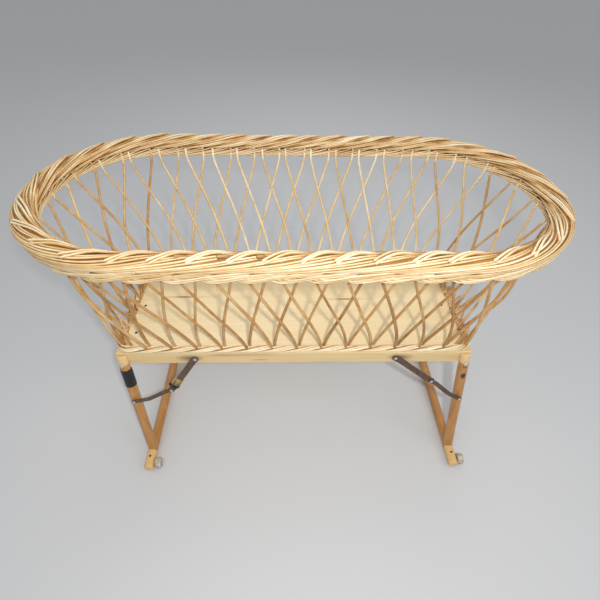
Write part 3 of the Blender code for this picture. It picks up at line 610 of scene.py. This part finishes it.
# Painted shade and light: a strand's tone falls where it dives under its neighbours and rises where it
# stands up to a millimetre proud.
SHADE_AND_LIGHT_BY_LIFT = 0.09         # a strand is darker by this for each millimetre that it dives
STRAND_RADIUS = 0.0021
WALE_STRANDS = 3            # in each pitch of a wale
ARCH_RADIUS = 0.0025
CUT_END_RADIUS = 0.0040
LONG_STRANDS, LONG_STEP = 2, -14        # in a group, and degrees from one to the next
ARCH_STRANDS, ARCH_STEP = 2, -12
ROWS_A_PITCH = 9            # points on a border strand for each pitch
STRAND_THINNING = 0.25      # of its radius, at a strand's hidden ends


def soften(path, rounds):
    """The path with its corners rounded and its ends kept."""
    for _ in range(rounds):
        path[1:-1] = (path[:-2] + 2 * path[1:-1] + path[2:]) / 4
    return path


def follow(course, steps):
    """The rows of a course at even steps along it, with its corners rounded."""
    rows = np.array(course, float)
    along = np.linspace(rows[0, 0], rows[-1, 0], steps + 1)
    columns = [along] + [np.interp(along, rows[:, 0], rows[:, column]) for column in (1, 2)]
    return soften(np.stack(columns, axis=1), 4)


def way_out(place, angle):
    """The direction at this angle in the rim's section: 0 is outward and a quarter turn is up."""
    return np.array((place[2] * math.cos(angle), place[3] * math.cos(angle), math.sin(angle)))


def border_strand(weave, start, course, turn, radius, tone, tip=None):
    """A strand round the rim's border; turn is added to its angles, tip is the lift of a blunt start."""
    across, tall = BORDER_WIDTH / 2 - radius, BORDER_HEIGHT / 2 - radius
    rows = follow(course, round((course[-1][0] - course[0][0]) * ROWS_A_PITCH))
    height = vary(0.8)
    path, radii, tones, facing = [], [], [], []
    for index, (along, angle, lift) in enumerate(rows):
        angle = math.radians(angle + turn)
        if tip is not None:
            lift += tip * (1 - smooth((along - rows[0, 0]) / 0.3))
        # Painted shade where the strand dives, painted light where it stands proud.
        tones.append(tone + SHADE_AND_LIGHT_BY_LIFT * min(lift, 1.0))
        lift += height
        place = head_place(start + along)
        path.append(beside(place, math.cos(angle) * (across + lift * MM),
                           BORDER_MIDDLE + math.sin(angle) * (tall + lift * MM)))
        facing.append(way_out(place, angle))
        share = index / (len(rows) - 1)
        from_end = 1 - share if tip is not None else min(share, 1 - share)
        radii.append(radius * (1 - STRAND_THINNING + STRAND_THINNING * smooth(from_end / 0.10)))
    weave.strand(path, radii, np.array(tones), facing=facing)


def core(weave, place_at, outward, z, radius, tone, flat=1.0):
    """The solid ring under a row of strands; its dark tone is painted shade where it shows between them."""
    ring = [beside(place_at(step / CORE_STEPS), outward, z) for step in range(PAIRS * CORE_STEPS + 1)]
    weave.strand(ring, radius, tone, flat)


def make_border():
    """The plaited border: long strands climb its outer side, and arches cap its inner edge."""
    weave = Weave(9)
    for group in range(PAIRS):
        shift, group_tone = vary(0.05), vary(0.05)
        for index in range(LONG_STRANDS):
            border_strand(weave, group - ARCH_START + shift + vary(0.06), LONG_STRAND,
                          LONG_STEP * index + vary(2.5), STRAND_RADIUS * (1 + vary(0.12)),
                          0.77 + group_tone + vary(0.14))
        for index in range(ARCH_STRANDS):
            border_strand(weave, group + shift + 0.06 * index + vary(0.03), ARCH_STRAND,
                          ARCH_STEP * index + vary(2.0), ARCH_RADIUS * (1 + vary(0.10)),
                          0.80 + group_tone + vary(0.13), tip=rng.uniform(0.5, 4.5))
    # The border's core is nearly black: painted shade in the gaps of the plait.
    core(weave, head_place, 0.0, BORDER_MIDDLE, BORDER_WIDTH * 0.41, 0.12, BORDER_HEIGHT / BORDER_WIDTH)
    for start in CUT_ENDS:
        border_strand(weave, start, CUT_END, 0.0, CUT_END_RADIUS, 0.26, tip=1.0)
    border = weave.finish("plaited_border", WILLOW, "basket")
    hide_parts("rim_border")


def make_rim_wale():
    """Under the border, strands come out between the sticks, dip in scallops and tuck up again."""
    weave = Weave(9)
    rows = (
        # course, angle that it faces, steps from strand to strand: in pitches, out and up in millimetres
        (OUTER_SCALLOP, 0.5, 0.08, 1.2, 4.1),
        (INNER_SCALLOP, math.pi, 0.33, 0.0, 0.0),
    )
    for group in range(PAIRS):
        for course, angle, offset, out_step, rise_step in rows:
            for index in range(WALE_STRANDS):
                start = group + index * offset + vary(0.06)
                path, facing = [], []
                for along, outward, rise in follow(course, 18):
                    place = head_place(start + along)
                    path.append(beside(place, (outward + index * out_step) * MM,
                                       WALE_LOW.z + (rise + index * rise_step) * MM))
                    facing.append(way_out(place, angle))
                weave.strand(path, STRAND_RADIUS * (1 + vary(0.12)), 0.77 + vary(0.14), facing=facing)
    middle = (WALE_LOW.z + WALE_HIGH.z) / 2
    # Dark core: painted shade between the wale's strands.
    core(weave, head_place, -0.001, middle + 0.001, 0.0085, 0.40, 0.75)
    wale = weave.finish("scalloped_rim_wale", WILLOW, "basket")
    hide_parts("rim_wale")


def make_base_wale():
    """The foot wale: each strand climbs from the rail over the wale's top to behind the sticks."""
    weave = Weave(7)
    middle = (BASE_LOW.z + BASE_HIGH.z) / 2
    low_angle, turn, pitches, steps = -75, 250, 2.5, 18
    half_width, outward = 0.0098, 0.0015
    for group in range(PAIRS):
        for index in range(WALE_STRANDS):
            start = group + index * 0.24 + vary(0.05)
            radius = STRAND_RADIUS * (1 + vary(0.12))
            path, facing = [], []
            for step in range(steps + 1):
                share = step / steps
                angle = math.radians(low_angle + turn * share)
                out = math.cos(angle) * (half_width - radius)
                rise = math.sin(angle) * (BASE_WALE_HEIGHT / 2 - radius)
                place = foot_place(start + pitches * share)
                path.append(beside(place, out + outward, middle + rise))
                facing.append(way_out(place, angle))
            weave.strand(path, radius, 0.96 + vary(0.10), facing=facing)
    # Dark core: painted shade between the wale's strands.
    core(weave, foot_place, 0.0, middle, BASE_WALE_HEIGHT * 0.33, 0.35)
    wale = weave.finish("foot_wale", WILLOW, "basket")
    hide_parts("base_wale")


# ---------------------------------------------------------------- small pieces

def nail_head(name, place, radius, body):
    """A low round head that sits on a level surface."""
    sides = 12
    rings = ((1.0, -0.0004), (1.0, 0.0004), (0.6, 0.0009))      # share of the radius, and height
    points = []
    for share, height in rings:
        for step in range(sides):
            angle = math.tau * step / sides
            points.append((place[0] + math.cos(angle) * radius * share,
                           place[1] + math.sin(angle) * radius * share, place[2] + height))
    last = (len(rings) - 1) * sides
    faces = [tuple(reversed(range(sides))), tuple(range(last, last + sides))]
    for low in range(0, last, sides):
        for step in range(sides):
            after = (step + 1) % sides
            faces.append((low + step, low + after, low + sides + after, low + sides + step))
    mesh = bpy.data.meshes.new(name)
    mesh.from_pydata(points, [], faces)
    mesh.materials.append(DARK_STEEL)
    obj = bpy.data.objects.new(name, mesh)
    bpy.context.scene.collection.objects.link(obj)
    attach(obj, body)


def make_nails():
    """Three nails at each end of the board, and one near each end of a floor rail."""
    end_x, nail_y = 0.383, 0.098
    for side, end in ((-1, "left"), (1, "right")):
        for index, y in enumerate((-nail_y, -0.004, nail_y)):
            nail_head(f"{end}_board_nail_{index + 1}", (side * end_x, y, BOARD_TOP), 0.0033, "basket")
        low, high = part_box(f"{end}_floor_rail")
        middle_x = (low.x + high.x) / 2
        for half, y in (("front", -0.238), ("rear", 0.238)):
            nail_head(f"{end}_{half}_floor_rail_nail", (middle_x, y, high.z - 0.0002), 0.0030,
                      f"{end}_stand")


def make_knuckle_wrap():
    """Yellowed tape and black wire wound round the left front upper arm beside its knuckle."""
    low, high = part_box("left_front_upper_brace")
    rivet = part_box("left_front_knuckle_rivet")
    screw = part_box("left_front_rail_screw")
    knuckle = (rivet[0] + rivet[1]) / 2
    knuckle.y = (low.y + high.y) / 2 - 0.005
    top = (screw[0] + screw[1]) / 2
    top.y = high.y
    along = (top - knuckle).normalized()
    side = along.cross(Vector((0, 1, 0))).normalized()
    depth = side.cross(along).normalized()

    def winding(start, end, turns, half_width, half_depth):
        """A flat coil round the arm, from start to end along it from the knuckle."""
        steps_a_turn = 14
        path = []
        for step in range(int(turns * steps_a_turn) + 1):
            share = step / (turns * steps_a_turn)
            angle = math.tau * turns * share
            centre = knuckle + along * (start + (end - start) * share)
            path.append(centre + side * math.cos(angle) * half_width + depth * math.sin(angle) * half_depth)
        return path

    tape = Weave(6)
    tape.strand(winding(start=0.014, end=0.040, turns=6, half_width=0.0098, half_depth=0.0032),
                radii=0.0026, tone=0.5)
    tape_piece = tape.finish("left_knuckle_yellow_tape", yellow_tape(), "left_front_upper_arm")
    wire = Weave(6)
    wire.strand(winding(start=0.010, end=0.019, turns=3.4, half_width=0.0125, half_depth=0.0062),
                radii=0.0011, tone=0.5)
    black_plastic = plain("black_wire", (0.06, 0.06, 0.06), 0.35)
    wire_piece = wire.finish("left_knuckle_black_wire", black_plastic, "left_front_upper_arm")


# ---------------------------------------------------------------- floor, light and camera

def make_floor():
    reach = 60.0
    mesh = bpy.data.meshes.new("floor")
    mesh.from_pydata([(-reach, -reach, 0), (reach, -reach, 0), (reach, reach, 0), (-reach, reach, 0)],
                     [], [(0, 1, 2, 3)])
    mesh.materials.append(plain("pale_floor", (0.80, 0.80, 0.80), 0.9))
    floor = bpy.data.objects.new("floor", mesh)
    bpy.context.scene.collection.objects.link(floor)


def add_light(name, place, target, size, power):
    """A round soft light that faces the target; size is its diameter and power is in watts."""
    light = bpy.data.lights.new(name, "AREA")
    light.energy = power
    light.shape = "DISK"
    light.size = size
    obj = bpy.data.objects.new(name, light)
    obj.location = place
    obj.rotation_euler = (Vector(target) - Vector(place)).to_track_quat("-Z", "Y").to_euler()
    bpy.context.scene.collection.objects.link(obj)


def make_lights():
    world = bpy.data.worlds.new("studio")
    world.use_nodes = True
    sky = world.node_tree.nodes["Background"]
    sky.inputs["Color"].default_value = (0.93, 0.96, 1.0, 1.0)
    sky.inputs["Strength"].default_value = 0.51
    bpy.context.scene.world = world
    middle = (0, 0, 0.4)
    add_light("front", (0.07, -0.90, 1.25), middle, 0.045, 8.0)
    add_light("key", (-0.4, -0.9, 2.5), middle, 1.2, 8)
    add_light("fill", (1.8, -1.6, 2.0), middle, 1.8, 12)
    add_light("back", (0.3, 2.0, 2.4), middle, 1.8, 14)


def make_camera():
    """In front of the bassinet and above it, looking down at its middle."""
    place = (-0.0217, -0.8067, 1.129)
    pan, roll, tilt = -1.376, -1.133, 47.163        # degrees; a tilt of 0 looks straight down
    camera = bpy.data.cameras.new("camera")
    camera.sensor_width = 36
    camera.lens = 25.66
    obj = bpy.data.objects.new("camera", camera)
    turn = (Matrix.Rotation(math.radians(pan), 4, "Z")
            @ Matrix.Rotation(math.radians(roll), 4, "Y")
            @ Matrix.Rotation(math.radians(tilt), 4, "X"))
    obj.matrix_world = Matrix.Translation(place) @ turn
    bpy.context.scene.collection.objects.link(obj)
    bpy.context.scene.camera = obj


make_camera()
WILLOW = willow()
DARK_STEEL = plain("dark_nail", (0.26, 0.22, 0.20), 0.55, 0.6)
dress_cad_nodes()
make_base_wale()
make_sticks()
make_border()
make_rim_wale()
make_nails()
make_knuckle_wrap()
make_floor()
make_lights()
bpy.context.scene.view_settings.view_transform = "Standard"
